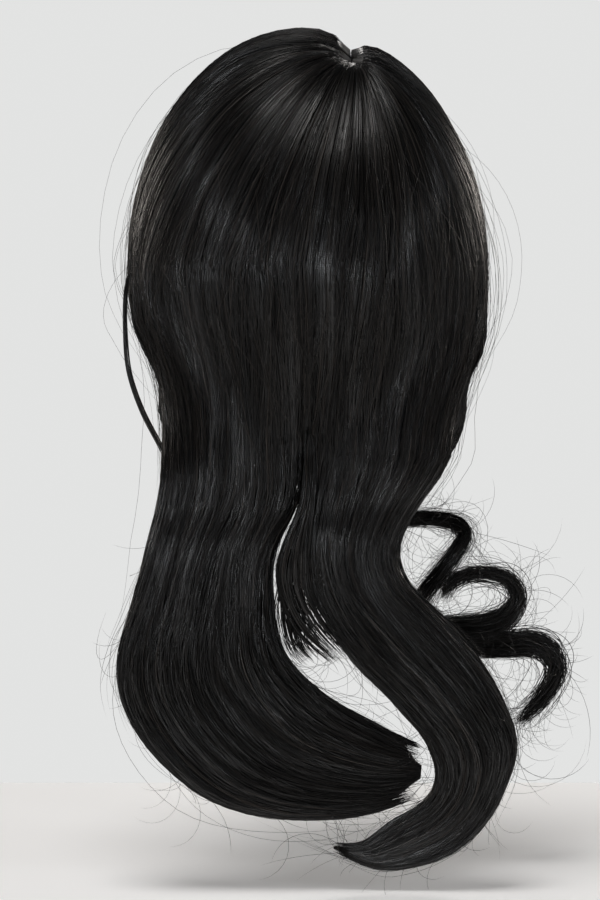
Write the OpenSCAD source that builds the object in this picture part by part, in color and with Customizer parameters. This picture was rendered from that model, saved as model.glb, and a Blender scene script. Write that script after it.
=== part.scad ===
// Costume wig: a net cap with sewn wefts, parted root hair, two long tails, front locks and curls.
// Units are millimetres. +Z is up, the face looks along +Y and the nape faces -Y.
// The origin is the centre of the head opening, level with the headband line.

/* [Cap] */
// inside width of the cap at the headband line
head_w = 156; // [130:1:190]
// inside length of the cap at the headband line, forehead to back
head_l = 202; // [170:1:244]
// height of the cap's crown above the headband line
crown_h = 112; // [92:1:136]
// how far the cap runs down the nape below the headband line
nape_drop = 74; // [60:1:90]
// thickness of the cap net
net_t = 1.0; // [0.6:0.1:1.4]
// thickness of a weft's sewn track
weft_t = 1.2; // [0.8:0.1:1.6]
// height of a weft's sewn track
weft_h = 3.2; // [2:0.1:5]
// height of the front and nape bands
band_h = 16; // [10:1:20]
// gap between one sewn layer and the next
lay = 0.3; // [0.2:0.05:0.5]

/* [Root hair] */
// thickness of the hair beside the head
hair_side = 17; // [12:0.5:22]
// thickness of the hair behind the head
hair_back = 13; // [10:0.5:18]
// thickness of the hair on top of the crown
hair_top = 16; // [12:0.5:20]
// how far the part line lies to the right of the middle
part_x = 24; // [12:1:30]
// how deep the hair dips beside the part line
part_dip = 6; // [3:0.5:8]
// width of the skin strip under the part line
skin_w = 14; // [8:1:20]

/* [Locks] */
// depth of the tails at the nape, front to back
tail_d = 36; // [28:1:42]
// depth of the front locks at the ear, front to back
front_d = 42; // [34:1:48]
// height of the line the tails swing about, below the headband line
tail_drop = 97; // [88:1:110]
// height of the line the front locks swing about, below the headband line
front_drop = 76; // [66:1:90]
// gap between a swinging lock and the hair above it
swing_gap = 0.5; // [0.3:0.1:1]

/* [Nape adjusters] */
// width of the elastic strap
strap_h = 8; // [6:0.5:10]
// thickness of the elastic strap
strap_t = 1.0; // [0.8:0.1:1.3]
// length of the hook plate
hook_l = 11; // [9:0.5:13]
// thickness of the hook wire
hook_t = 1.0; // [0.8:0.1:1.3]

/* [Hidden] */
$fn = 36;
kx = head_w / 156;
ky = head_l / 202;
kz = crown_h / 112;
hx = head_w / 2;
hy = head_l / 2;
ox = hx + hair_side;
oy = hy + hair_back;
oz = crown_h + hair_top;
weft_in = net_t + lay;
hair_in = net_t + weft_t + 2 * lay + 0.5;
tail_y = -74 * ky;
tail_v = tail_d / 2;
front_y = 22 * ky;
front_v = front_d / 2;
eps = 0.01;

function mix(a, b, t) = a + (b - a) * t;
function clamp(x, a, b) = max(a, min(b, x));
function ease(t) = t * t * (3 - 2 * t);
function unit(v) = v / norm(v);

// widths of the cap and of the hair below the headband line, z given for the standard crown height
function cap_w(z) = lookup(z, [[-140, 50], [-78, 62], [-60, 66], [-30, 74], [-12, 77.2], [0, 78]]) / 78;
function cap_l(z) = lookup(z, [[-140, 70], [-78, 82], [-60, 87], [-30, 96], [-12, 100], [0, 101]]) / 101;
function left_w(z) = lookup(z, [[-90, 76], [-70, 80], [-50, 86], [-30, 92], [-12, 94.6], [0, 95]]) / 95;
function right_w(z) = lookup(z, [[-90, 82], [-70, 89], [-50, 93], [-30, 94], [-12, 94.8], [0, 95]]) / 95;
function hair_l(z) = lookup(z, [[-90, 93], [-70, 99], [-50, 105], [-30, 110], [-12, 113.4], [0, 114]]) / 114;

// a point of the cap: azimuth from the back, elevation, and offset outward
function cap_z(el) = el >= 0 ? crown_h * sin(el) : crown_h * el * PI / 180;
function cap_pt(a, el, off) =
    let (z = cap_z(el), c = el >= 0 ? cos(el) : 1, q = min(z, 0) / kz)
    [(hx * c * cap_w(q) + off * (el >= 0 ? c : 1)) * sin(a),
     -(hy * c * cap_l(q) + off * (el >= 0 ? c : 1)) * cos(a),
     z + (el >= 0 ? off * sin(el) : 0)];
function el_at(z) = z >= 0 ? asin(clamp(z / crown_h, 0, 1)) : z / crown_h * 180 / PI;

// the lower edge of the net: nape, ear cut-out, temple and hairline
function net_edge(a) = lookup(a > 180 ? 360 - a : abs(a), [
    [0, -nape_drop], [56, -nape_drop], [66, -48 * kz], [78, -16 * kz],
    [90, -14 * kz], [122, -14 * kz], [128, 10 * kz], [136, 34 * kz], [146, 52 * kz], [162, 64 * kz],
    [180, 70 * kz]]);

// hair flow: every strand runs from the whorl or the part line down to the headband line
function root_dir(f) = let (x = part_x / 95, y = mix(-0.42, 0.745, f)) [x, y, sqrt(1 - x * x - y * y)];
function rim_dir(a) = [sin(a), -cos(a), 0];
function flow(a, t) =
    let (p = root_dir(clamp((abs(a) - 90) / 35, 0, 1)), q = rim_dir(a), w = acos(clamp(p * q, -1, 1)))
    (p * sin((1 - t) * w) + q * sin(t * w)) / sin(w);
function outer(a, t) =
    let (d = flow(a, t), dip = part_dip * exp(-t / 0.09) * 2)
    [d[0] * (ox - dip * 0.6), d[1] * (oy - dip * 0.6), d[2] * (oz - dip)];
function inner(a, t) =
    let (d = flow(a, t))
    [d[0] * (hx + hair_in), d[1] * (hy + hair_in), d[2] * (crown_h + hair_in)];
// below the headband line the hair hangs and draws in towards the neck
function hang_out(a, z) =
    let (q = z / kz, w = a < 0 ? left_w(q) : right_w(q))
    [ox * w * sin(a), -oy * hair_l(q) * cos(a), z];
function hang_in(a, z) =
    let (q = z / kz)
    [(hx * cap_w(q) + hair_in) * sin(a), -(hy * cap_l(q) + hair_in) * cos(a), z];

// one closed skin from two grids of points of the same size, outside first
module skin(top, bot) {
    n = len(top);
    m = len(top[0]);
    pts = concat([for (r = top) each r], [for (r = bot) each r]);
    k = n * m;
    polyhedron(pts, concat(
        [for (i = [0:n - 2], j = [0:m - 2]) each [
            [i * m + j, i * m + j + 1, (i + 1) * m + j + 1],
            [i * m + j, (i + 1) * m + j + 1, (i + 1) * m + j],
            [k + i * m + j, k + (i + 1) * m + j + 1, k + i * m + j + 1],
            [k + i * m + j, k + (i + 1) * m + j, k + (i + 1) * m + j + 1]]],
        [for (i = [0:n - 2]) each [
            [i * m, (i + 1) * m, k + (i + 1) * m],
            [i * m, k + (i + 1) * m, k + i * m],
            [i * m + m - 1, k + (i + 1) * m + m - 1, (i + 1) * m + m - 1],
            [i * m + m - 1, k + i * m + m - 1, k + (i + 1) * m + m - 1]]],
        [for (j = [0:m - 2]) each [
            [j, k + j + 1, j + 1],
            [j, k + j, k + j + 1],
            [(n - 1) * m + j, (n - 1) * m + j + 1, k + (n - 1) * m + j + 1],
            [(n - 1) * m + j, k + (n - 1) * m + j + 1, k + (n - 1) * m + j]]]));
}

// part of the cap's wall between two azimuths and two heights
module wall(a0, a1, z0, z1, off0, off1, n = 18, m = 4) {
    az = [for (i = [0:n]) mix(a0, a1, i / n)];
    top = [for (a = az) [for (j = [0:m]) cap_pt(a, el_at(mix(z0, z1, j / m)), off1)]];
    bot = [for (a = az) [for (j = [0:m]) cap_pt(a, el_at(mix(z0, z1, j / m)), off0)]];
    skin(top, bot);
}

// hair lying on the head between two azimuths, hanging down to z_end
module mantle(a0, a1, z_end, t0 = 0.04, n = 10, m = 12, g = 7) {
    az = [for (i = [0:n]) mix(a0, a1, i / n)];
    ts = [for (j = [0:m]) mix(t0, 1, ease(j / m) * 0.3 + 0.7 * j / m)];
    zs = [for (j = [1:g]) z_end * j / g];
    top = [for (a = az) concat([for (t = ts) outer(a, t)], [for (z = zs) hang_out(a, z)])];
    bot = [for (a = az) concat([for (t = ts) inner(a, t)], [for (z = zs) hang_in(a, z)])];
    skin(top, bot);
}

// closed tube through a list of rings; each ring is a list of points
module rings(r) {
    n = len(r);
    m = len(r[0]);
    polyhedron([for (q = r) each q], concat(
        [for (i = [0:n - 2], j = [0:m - 1]) each [
            [i * m + j, i * m + (j + 1) % m, (i + 1) * m + (j + 1) % m],
            [i * m + j, (i + 1) * m + (j + 1) % m, (i + 1) * m + j]]],
        [[for (j = [0:m - 1]) m - 1 - j]],
        [[for (j = [0:m - 1]) (n - 1) * m + j]]));
}

// a smooth value between guide rows, s counted in rows
function row(p, i) = p[clamp(i, 0, len(p) - 1)];
function along(p, s) =
    let (i = min(floor(s), len(p) - 2), t = s - i, a = row(p, i - 1), b = row(p, i), c = row(p, i + 1),
         d = row(p, i + 2))
    (b * 2 + (c - a) * t + (a * 2 - b * 5 + c * 4 - d) * t * t + (b * 3 - a - c * 3 + d) * t * t * t) / 2;

// ring round a centre, half width along the unit vector w and half depth along the unit vector v
function oval(c, w, v, sw, sv, m = 16) =
    [for (j = [0:m - 1]) c + w * sw * cos(360 * j / m) + v * sv * sin(360 * j / m)];

// a tail: guide rows are [left x, left z, right x, right z, y, half depth]
module tail(g, steps) {
    n = len(g) - 1;
    c0 = [(g[0][0] + g[0][2]) / 2, g[0][4], g[0][1]];
    u0 = (g[0][2] - g[0][0]) / 2;
    cap = [for (q = [84, 68, 52, 36, 18]) oval(c0 + [0, 0, g[0][5] * sin(q)], [1, 0, 0], [0, 1, 0],
        u0 * (0.62 + 0.38 * sqrt(cos(q))), g[0][5] * cos(q))];
    body = [for (i = [0:steps])
        let (r = along(g, n * i / steps), w = [r[2] - r[0], 0, r[3] - r[1]])
        oval([(r[0] + r[2]) / 2, r[4], (r[1] + r[3]) / 2], unit(w), [0, 1, 0], norm(w) / 2, r[5])];
    rings(concat(cap, body));
}

// a lock or curl: guide rows are [x, y, z, half width, half depth]; the depth stays along y
module lock(p, s0, s1, steps, m = 12) {
    rings([for (i = [0:steps])
        let (s = mix(s0, s1, i / steps), r = along(p, s), e = 0.04,
             q1 = along(p, min(s + e, len(p) - 1)), q0 = along(p, max(s - e, 0)),
             d = unit([q1[0] - q0[0], 0, q1[2] - q0[2]]))
        oval([r[0], r[1], r[2]], [-d[2], 0, d[0]], [0, 1, 0], r[3], r[4], m)]);
}

// the rounded top of a front lock, turned about its swing line
function front_cap(c, w, v) = [for (q = [84, 66, 48, 32, 16])
    [c[0], c[1], c[2] + v * sin(q), w * (0.6 + 0.4 * sqrt(cos(q))), v * cos(q)]];

// guide rows, scaled with the head
function fit_tail(g) = [for (r = g) [r[0] * kx, (r[1] + 97) * kz - tail_drop, r[2] * kx,
    (r[3] + 97) * kz - tail_drop, r[4] * ky, r[5] * tail_v / 18]];
function fit_lock(g) = [for (r = g) [r[0] * kx, r[1] * ky, (r[2] + 76) * kz - front_drop,
    r[3] * kx, r[4] * front_v / 21]];

left_rows = fit_tail([
    [-75, -97, -3, -97, -74, 18], [-75, -110, -3, -110, -74, 18], [-78, -127, -6, -124, -74, 18],
    [-82, -142, -14, -138, -77, 17], [-86, -158, -19, -153, -77, 17], [-92, -178, -19, -170, -76, 18],
    [-98, -198, -17, -186, -76, 18], [-98, -218, -12, -199, -76, 17], [-90, -238, -4, -209, -75, 16],
    [-74, -258, 6, -218, -75, 15], [-52, -275, 16, -225, -74, 13], [-24, -284, 27, -231, -73, 12],
    [6, -286, 38, -237, -72, 10], [32, -283, 48, -242, -72, 8], [52, -276, 57, -246, -72, 6]]);
right_rows = fit_tail([
    [1, -97, 73, -97, -74, 18], [0, -109, 67, -109, -74, 18], [-1, -123, 57, -123, -74, 17],
    [-2, -138, 49, -136, -77, 16], [-1, -153, 46, -149, -77, 16], [4, -172, 52, -164, -77, 16],
    [13, -190, 66, -177, -77, 16], [25, -206, 80, -192, -77, 15], [39, -220, 92, -208, -76, 14],
    [50, -232, 100, -223, -76, 13], [59, -243, 106, -238, -75, 12], [64, -254, 107, -252, -75, 11],
    [65, -264, 102, -268, -75, 10], [61, -273, 94, -284, -74, 9], [53, -280, 81, -298, -73, 8],
    [44, -285, 65, -307, -72, 7], [36, -291, 49, -311, -72, 5], [27, -297, 34, -311, -72, 3.4],
    [16, -297, 17, -304, -72, 1.6]]);
wisp_rows = fit_tail([
    [-9, -138, -2.6, -138, -76.6, 3.4], [-12, -152, -3, -152, -76, 3.4], [-14, -168, -4, -168, -74, 3.4],
    [-13, -184, -4, -184, -73, 3], [-9, -197, -2, -194, -72, 2.4], [0, -206, 4, -201, -72, 1.4]]);
left_lock_rows = fit_lock([
    [-75, 22, -76, 7, 21], [-66, 26, -92, 8, 19], [-65, 26, -108, 9, 16], [-63, 23, -124, 8, 13],
    [-60, 19, -145, 8, 10], [-62, 16, -165, 7, 8], [-66, 14, -185, 5, 6], [-70, 13, -203, 3, 4],
    [-72, 13, -214, 1.2, 1.6]]);
right_lock_rows = fit_lock([
    [79, 22, -76, 8, 21], [72, 28, -92, 9, 18], [60, 29, -106, 9, 14], [50, 27, -118, 8, 10],
    [43, 22, -127, 6, 6], [46, 17, -134, 4.4, 3.4], [57, 13, -134, 4.2, 2.6], [69, 8, -134, 4.2, 2.4],
    [79, 3, -136, 4.2, 2.4], [84, -1, -142, 4, 2.4], [80, -3, -150, 4.2, 2.4], [72, -2, -161, 4.4, 2.4],
    [63, 1, -173, 4.4, 2.6], [58, 6, -184, 4.6, 3], [66, 10, -192, 5.4, 3], [80, 12, -193, 7, 3],
    [96, 13, -192, 7.4, 3], [108, 14, -186, 6, 3], [113, 14, -176, 4.4, 2.6], [108, 13, -167, 3.4, 2.4],
    [97, 11, -163.5, 3, 2.2], [85, 9, -164, 3, 2], [76, 7, -169, 2.8, 2], [73, 6, -177, 1.6, 1.6]]);
lower_rows = fit_lock([
    [71, 16.8, -198, 3, 2.4], [80, 17.3, -201, 5.4, 2.8], [92, 17.8, -203, 6.6, 3], [106, 18, -203, 7, 3],
    [120, 17, -202, 7, 3], [130, 15, -206, 6, 3], [134, 12, -215, 4.2, 2.6], [130, 9, -225, 3.6, 2.4],
    [122, 8, -235, 2.8, 2], [113, 8, -244, 1.2, 1.2]]);
strand_rows = [for (r = [
    [-94, -24, -1, 0.8, 0.8], [-96.4, -24.5, -14, 1.3, 1.5], [-96.6, -25, -34, 1.4, 1.6],
    [-94.5, -25, -54, 1.4, 1.6], [-88, -24, -74, 1.4, 1.6], [-79, -22, -92, 1.2, 1.4],
    [-74, -20, -102, 0.7, 0.8]]) [(r[0] + 95) * kx - ox, r[1] * ky, r[2] * kz, r[3], r[4]]];

// closed dome skin: rings of points all the way round, outside and inside, shut at the top
module dome(top, bot) {
    n = len(top);
    m = len(top[0]);
    k = n * m;
    polyhedron(concat([for (r = top) each r], [for (r = bot) each r]), concat(
        [for (i = [0:n - 2], j = [0:m - 1]) let (l = (j + 1) % m) each [
            [i * m + j, (i + 1) * m + l, i * m + l],
            [i * m + j, (i + 1) * m + j, (i + 1) * m + l],
            [k + i * m + j, k + i * m + l, k + (i + 1) * m + l],
            [k + i * m + j, k + (i + 1) * m + l, k + (i + 1) * m + j]]],
        [for (j = [0:m - 1]) let (l = (j + 1) % m) each [
            [j, l, k + l],
            [j, k + l, k + j]]],
        [[for (j = [0:m - 1]) (n - 1) * m + m - 1 - j]],
        [[for (j = [0:m - 1]) k + (n - 1) * m + j]]));
}

module crown_net() color("black") {
    az = [for (i = [0:71]) i * 5 - 180];
    top = [for (j = [0:11]) [for (a = az) cap_pt(a, mix(el_at(net_edge(a)), 88, j / 11), net_t)]];
    bot = [for (j = [0:11]) [for (a = az) cap_pt(a, mix(el_at(net_edge(a)), 88, j / 11), 0)]];
    dome(top, bot);
}

// a band sewn inside the net along its lower edge
module edge_band(a0, a1, n) {
    az = [for (i = [0:n]) mix(a0, a1, i / n)];
    top = [for (a = az) [for (j = [0:3]) cap_pt(a, el_at(net_edge(a) + 1 + band_h * j / 3), -4 * lay)]];
    bot = [for (a = az) [for (j = [0:3]) cap_pt(a, el_at(net_edge(a) + 1 + band_h * j / 3), -4 * lay - 1)]];
    skin(top, bot);
}

module front_band() color("dimgray") edge_band(124, 236, 40);

module nape_band() color("dimgray") edge_band(-54, 54, 24);

function skin_pt(x, y, off) =
    let (sx = hx + off, sy = hy + off, sz = crown_h + off, u = x / sx, v = y * ky / sy)
    [x, y * ky, sz * sqrt(max(0, 1 - u * u - v * v))];

module skin_top() color("lightgray") {
    ys = [for (i = [0:20]) mix(-51, 84, i / 20)];
    w = [for (y = ys) skin_w / 2 + (y < -31 ? 4 * sqrt(1 - pow((y + 43) / 12.5, 2)) : 0)];
    px = part_x * (hx + weft_in) / ox;
    top = [for (i = [0:20]) [for (j = [0:4]) skin_pt(px + w[i] * (j / 2 - 1), ys[i], weft_in + weft_t)]];
    bot = [for (i = [0:20]) [for (j = [0:4]) skin_pt(px + w[i] * (j / 2 - 1), ys[i], weft_in)]];
    skin(bot, top);
}

function tab_edge(a, z) = z - 26 * kz * sqrt(max(0.05, 1 - pow((abs(a) - 112.5) / 9.2, 2)));

module ear_tab(s) {
    az = [for (i = [0:5]) mix(s > 0 ? 104 : -121, s > 0 ? 121 : -104, i / 5)];
    z1 = -14 * kz - lay;
    top = [for (a = az) [for (j = [0:4]) cap_pt(a, el_at(mix(tab_edge(a, z1), z1, j / 4)), net_t)]];
    bot = [for (a = az) [for (j = [0:4]) cap_pt(a, el_at(mix(tab_edge(a, z1), z1, j / 4)), 0)]];
    skin(top, bot);
}

module ear_tab_left() color("dimgray") ear_tab(-1);

module ear_tab_right() color("dimgray") ear_tab(1);

module ear_stay(a) {
    wall(a - 1.4, a + 1.4, -37 * kz, -17 * kz, -lay - 0.6, -lay, 2, 6);
}

module ear_stay_left() color("silver") ear_stay(-112.5);

module ear_stay_right() color("silver") ear_stay(112.5);

module weft(a, z, s0 = -1) {
    wall(s0 * a, a, z * kz - weft_h / 2, z * kz + weft_h / 2, weft_in, weft_in + weft_t, 30, 1);
}

module weft_row_1() color("black") weft(108, 84);

module weft_row_2() color("black") weft(112, 68);

module weft_row_3() color("black") weft(116, 50);

module weft_row_4() color("black") weft(118, 32);

module weft_row_5() color("black") weft(119, 14);

module weft_row_6() color("black") weft(118, -5);

module weft_row_7() color("black") weft(66, -30);

module weft_row_8() color("black") weft(52, -56);

// the nape adjusters: loops sewn on the band, a strap from the side, and a hook between them
nape_z = -nape_drop + 1 + band_h / 2;
nape_tilt = atan(hy * (cap_l((nape_z + 6) / kz) - cap_l((nape_z - 6) / kz)) / 12);
band_in = 4 * lay + 1;
band_w = hx * cap_w(nape_z / kz) - band_in;
band_l = hy * cap_l(nape_z / kz) - band_in;
hook_a = 34;

// a place on the inside of the nape band, x along the band and y towards the head
module on_band(s, a) {
    mirror([s < 0 ? 1 : 0, 0, 0])
        translate([band_w * sin(a), -band_l * cos(a), nape_z])
            rotate([0, 0, atan2(band_l * sin(a), band_w * cos(a))])
                rotate([nape_tilt, 0, 0])
                    children();
}

module hook_loops(s) {
    difference() {
        wall(s > 0 ? 7 : -31, s > 0 ? 31 : -7, nape_z - strap_h / 2, nape_z + strap_h / 2,
            -band_in - lay - 1, -band_in - lay, 12, 2);
        for (a = [12, 17, 22, 27])
            rotate([0, 0, s * a])
                translate([-0.9, -200, nape_z - strap_h / 4])
                    cube([1.8, 400, strap_h / 2]);
    }
}

module hook_loops_left() color("dimgray") hook_loops(-1);

module hook_loops_right() color("dimgray") hook_loops(1);

// the hook: a flat wire eye for the strap, with a tongue turned towards the loops
module hook(s) {
    on_band(s, hook_a) {
        difference() {
            translate([-hook_l / 2, 3.4, -strap_h / 2 - 1])
                cube([hook_l, hook_t, strap_h + 2]);
            translate([hook_l / 2 - 4.2, 3, -strap_h / 2 - 0.2])
                cube([2.6, hook_t + 1, strap_h + 0.4]);
        }
        translate([-hook_l / 2 - 3, 3.4, -1.5])
            cube([3 + eps, hook_t, 3]);
    }
}

module hook_left() color("silver") hook(-1);

module hook_right() color("silver") hook(1);

// the elastic strap turns through the hook's eye and is sewn down on the band at the side
module strap(s) {
    on_band(s, hook_a)
        translate([hook_l / 2 - 3.7, 2, -strap_h / 2])
            cube([1.6, 2.4 + hook_t, strap_h]);
    hull() {
        on_band(s, hook_a)
            translate([hook_l / 2 - 3.2, 2.01, -strap_h / 2 + eps])
                cube([1, strap_t, strap_h - 2 * eps]);
        on_band(s, 48)
            translate([-2, lay + 0.1, -strap_h / 2 + eps])
                cube([1, strap_t - 0.1, strap_h - 2 * eps]);
    }
    on_band(s, 48)
        translate([-2.5, lay, -strap_h / 2])
            cube([6, strap_t, strap_h]);
}

module strap_left() color("gray") strap(-1);

module strap_right() color("gray") strap(1);

// room for the rounded tops of the swinging locks
module swing_room(x0, x1, y, z, r) {
    translate([x0, y, z])
        rotate([0, 90, 0])
            cylinder(h = x1 - x0, r = r + swing_gap, $fn = 72);
}

back_end = -tail_drop + 0.55 * tail_v;
front_end = -front_drop + 0.55 * front_v;

module back_hair(a0, a1) {
    difference() {
        mantle(a0, a1, back_end);
        swing_room(-120 * kx, 120 * kx, tail_y, -tail_drop, tail_v);
    }
}

module back_hair_left() color("black") back_hair(-56, -0.4);

module back_hair_right() color("black") back_hair(0.4, 56);

module side_hair(a0, a1) {
    difference() {
        mantle(a0, a1, back_end);
        swing_room(-120 * kx, 120 * kx, tail_y, -tail_drop, tail_v);
        swing_room(-120 * kx, 120 * kx, front_y, -front_drop, front_v);
    }
}

module side_hair_left() color("black") side_hair(-92, -56.6);

module side_hair_right() color("black") side_hair(56.6, 92);

module front_hair(a0, a1) {
    difference() {
        mantle(a0, a1, front_end, 0.03);
        swing_room(-120 * kx, 120 * kx, front_y, -front_drop, front_v);
    }
}

module front_hair_left() color("black") front_hair(-125, -92.6);

module front_hair_right() color("black") front_hair(92.6, 125);

// a short tail piece with no rounded top
module tail_piece(g, steps) {
    n = len(g) - 1;
    rings([for (i = [0:steps])
        let (r = along(g, n * i / steps), w = [r[2] - r[0], 0, r[3] - r[1]])
        oval([(r[0] + r[2]) / 2, r[4], (r[1] + r[3]) / 2], unit(w), [0, 1, 0], norm(w) / 2, r[5], 10)]);
}

module loose_strand() color("black") lock(strand_rows, 0, 6, 24, 8);

module left_tail() color("black") tail(left_rows, 34);

module right_tail() color("black") tail(right_rows, 40);

module centre_wisp() color("black") tail_piece(wisp_rows, 14);

module front_lock(p, s1, steps) {
    top = [for (r = front_cap([p[0][0], p[0][1], p[0][2]], p[0][3], p[0][4]))
        oval([r[0], r[1], r[2]], [1, 0, 0], [0, 1, 0], r[3], r[4], 16)];
    body = [for (i = [0:steps])
        let (s = s1 * i / steps, r = along(p, s), e = 0.04,
             q1 = along(p, s + e), q0 = along(p, max(s - e, 0)),
             d = i == 0 ? [0, 0, -1] : unit([q1[0] - q0[0], 0, q1[2] - q0[2]]))
        oval([r[0], r[1], r[2]], [-d[2], 0, d[0]], [0, 1, 0], r[3], r[4], 16)];
    rings(concat(top, body));
}

module left_front_lock() color("black") front_lock(left_lock_rows, 7.9, 22);

module right_front_lock() color("black") front_lock(right_lock_rows, 4.6, 14);

module curl_upper() color("black") lock(right_lock_rows, 4.66, 12.95, 40);

module curl_middle() color("black") lock(right_lock_rows, 13.07, 23, 48);

module curl_lower() color("black") lock(lower_rows, 0, 9, 36);

crown_net();
front_band();
nape_band();
skin_top();
ear_tab_left();
ear_tab_right();
ear_stay_left();
ear_stay_right();
weft_row_1();
weft_row_2();
weft_row_3();
weft_row_4();
weft_row_5();
weft_row_6();
weft_row_7();
weft_row_8();
hook_loops_left();
hook_loops_right();
strap_left();
strap_right();
hook_left();
hook_right();
back_hair_left();
back_hair_right();
side_hair_left();
side_hair_right();
front_hair_left();
front_hair_right();
loose_strand();
left_tail();
right_tail();
centre_wisp();
left_front_lock();
right_front_lock();
curl_upper();
curl_middle();
curl_lower();
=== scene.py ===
"""Costume wig: hair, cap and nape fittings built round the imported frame."""

import math

import bmesh
import bpy
import numpy as np
from bpy.props import FloatProperty, FloatVectorProperty, IntProperty, PointerProperty
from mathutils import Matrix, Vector


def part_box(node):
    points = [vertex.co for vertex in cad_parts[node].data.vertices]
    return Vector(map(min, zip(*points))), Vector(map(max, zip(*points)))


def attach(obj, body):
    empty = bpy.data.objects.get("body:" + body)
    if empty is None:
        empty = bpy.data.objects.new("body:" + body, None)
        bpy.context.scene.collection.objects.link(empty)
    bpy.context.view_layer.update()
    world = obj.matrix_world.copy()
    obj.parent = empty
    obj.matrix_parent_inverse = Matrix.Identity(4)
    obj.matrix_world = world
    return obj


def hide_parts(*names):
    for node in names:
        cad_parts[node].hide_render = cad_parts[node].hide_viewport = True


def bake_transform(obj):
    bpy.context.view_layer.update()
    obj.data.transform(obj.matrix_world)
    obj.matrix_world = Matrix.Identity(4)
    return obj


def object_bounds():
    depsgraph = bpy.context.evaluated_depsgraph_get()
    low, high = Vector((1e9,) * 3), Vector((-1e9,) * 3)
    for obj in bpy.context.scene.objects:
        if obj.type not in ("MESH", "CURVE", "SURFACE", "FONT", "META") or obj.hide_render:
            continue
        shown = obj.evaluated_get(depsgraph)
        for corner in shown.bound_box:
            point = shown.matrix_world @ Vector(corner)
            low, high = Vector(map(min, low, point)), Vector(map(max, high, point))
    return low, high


bl_info = {
    "name": "Costume Wig",
    "version": (1, 0, 0),
    "blender": (4, 5, 0),
    "location": "View3D > Sidebar > Wig",
    "description": "Builds the hair, cap and nape fittings of a costume wig",
    "category": "Object",
}

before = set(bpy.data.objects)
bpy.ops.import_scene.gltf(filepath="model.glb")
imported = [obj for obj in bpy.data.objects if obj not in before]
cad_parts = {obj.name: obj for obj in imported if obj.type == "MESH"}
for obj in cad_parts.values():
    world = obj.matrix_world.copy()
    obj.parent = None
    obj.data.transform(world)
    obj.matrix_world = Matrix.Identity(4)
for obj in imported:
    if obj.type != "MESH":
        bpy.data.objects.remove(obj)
CAD_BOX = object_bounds()
MM = 0.001

# Cap and hair sizes in millimetres, the same as the frame's
CAP_W, CAP_L, CROWN = 78.0, 101.0, 112.0
HAIR_W, HAIR_L, HAIR_H = 95.0, 114.0, 128.0
HAIR_IN = 3.3
PART_X, PART_DIP = 24.0, 6.0
ARC = 165.0
RISE = 13.0

# How the cap and the hair draw in below the headband line: (height, size)
CAP_WIDTHS = ((-140, 50), (-78, 62), (-60, 66), (-30, 74), (-12, 77.2), (0, 78))
CAP_LENGTHS = ((-140, 70), (-78, 82), (-60, 87), (-30, 96), (-12, 100), (0, 101))
LEFT_WIDTHS = ((-130, 74), (-90, 76), (-70, 80), (-50, 86), (-30, 92), (-12, 94.6), (0, 95))
RIGHT_WIDTHS = ((-130, 70), (-90, 82), (-70, 89), (-50, 93), (-30, 94), (-12, 94.8), (0, 95))
HAIR_LENGTHS = ((-130, 84), (-90, 93), (-70, 99), (-50, 105), (-30, 110), (-12, 113.4), (0, 114))
NET_EDGE = ((0, -74), (56, -74), (66, -48), (78, -16), (90, -14), (122, -14), (128, 10),
            (136, 34), (146, 52), (162, 64), (180, 70))

# Tail guides: left edge x and z, right edge x and z, y, half depth
LEFT_TAIL = (
    (-75, -97, -3, -97, -74, 18), (-75, -110, -3, -110, -74, 18), (-78, -127, -6, -124, -74, 18),
    (-82, -142, -14, -138, -77, 17), (-86, -158, -19, -153, -77, 17), (-92, -178, -19, -170, -76, 18),
    (-98, -198, -17, -186, -76, 18), (-98, -218, -12, -199, -76, 17), (-90, -238, -4, -209, -75, 16),
    (-74, -258, 6, -218, -75, 15), (-52, -275, 16, -225, -74, 13), (-24, -284, 27, -231, -73, 12),
    (6, -286, 38, -237, -72, 10), (32, -283, 48, -242, -72, 8), (52, -276, 57, -246, -72, 6),
)
RIGHT_TAIL = (
    (1, -97, 73, -97, -74, 18), (0, -109, 67, -109, -74, 18), (-1, -123, 57, -123, -74, 17),
    (-2, -138, 49, -136, -77, 16), (-1, -153, 46, -149, -77, 16), (4, -172, 52, -164, -77, 16),
    (13, -190, 66, -177, -77, 16), (25, -206, 80, -192, -77, 15), (39, -220, 92, -208, -76, 14),
    (50, -232, 100, -223, -76, 13), (59, -243, 106, -238, -75, 12), (64, -254, 107, -252, -75, 11),
    (65, -264, 102, -268, -75, 10), (61, -273, 94, -284, -74, 9), (53, -280, 81, -298, -73, 8),
    (44, -285, 65, -307, -72, 7), (36, -291, 49, -311, -72, 5), (27, -297, 34, -311, -72, 3.4),
    (16, -297, 17, -304, -72, 1.6),
)
WISP = (
    (-9, -138, -2.6, -138, -76.6, 3.4), (-12, -152, -3, -152, -76, 3.4), (-14, -168, -4, -168, -74, 3.4),
    (-13, -184, -4, -184, -73, 3), (-9, -197, -2, -194, -72, 2.4), (0, -206, 4, -201, -72, 1.4),
)
MIDDLE = (
    (-4, -82, 6, -82, -78, 9), (-3, -97, 6, -97, -78, 9), (-3, -112, 5, -112, -80, 9),
    (-6, -126, 4, -126, -81, 9),
    (-13, -141, 3, -141, -81, 8), (-17, -155, 3, -155, -80, 7), (-16, -167, 4, -167, -79, 6),
    (-12, -179, 9, -177, -78, 5), (-5, -190, 15, -186, -77, 4.5), (5, -199, 22, -195, -76, 4),
    (15, -207, 29, -204, -76, 3), (26, -215, 35, -213, -75, 1.6),
)
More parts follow.
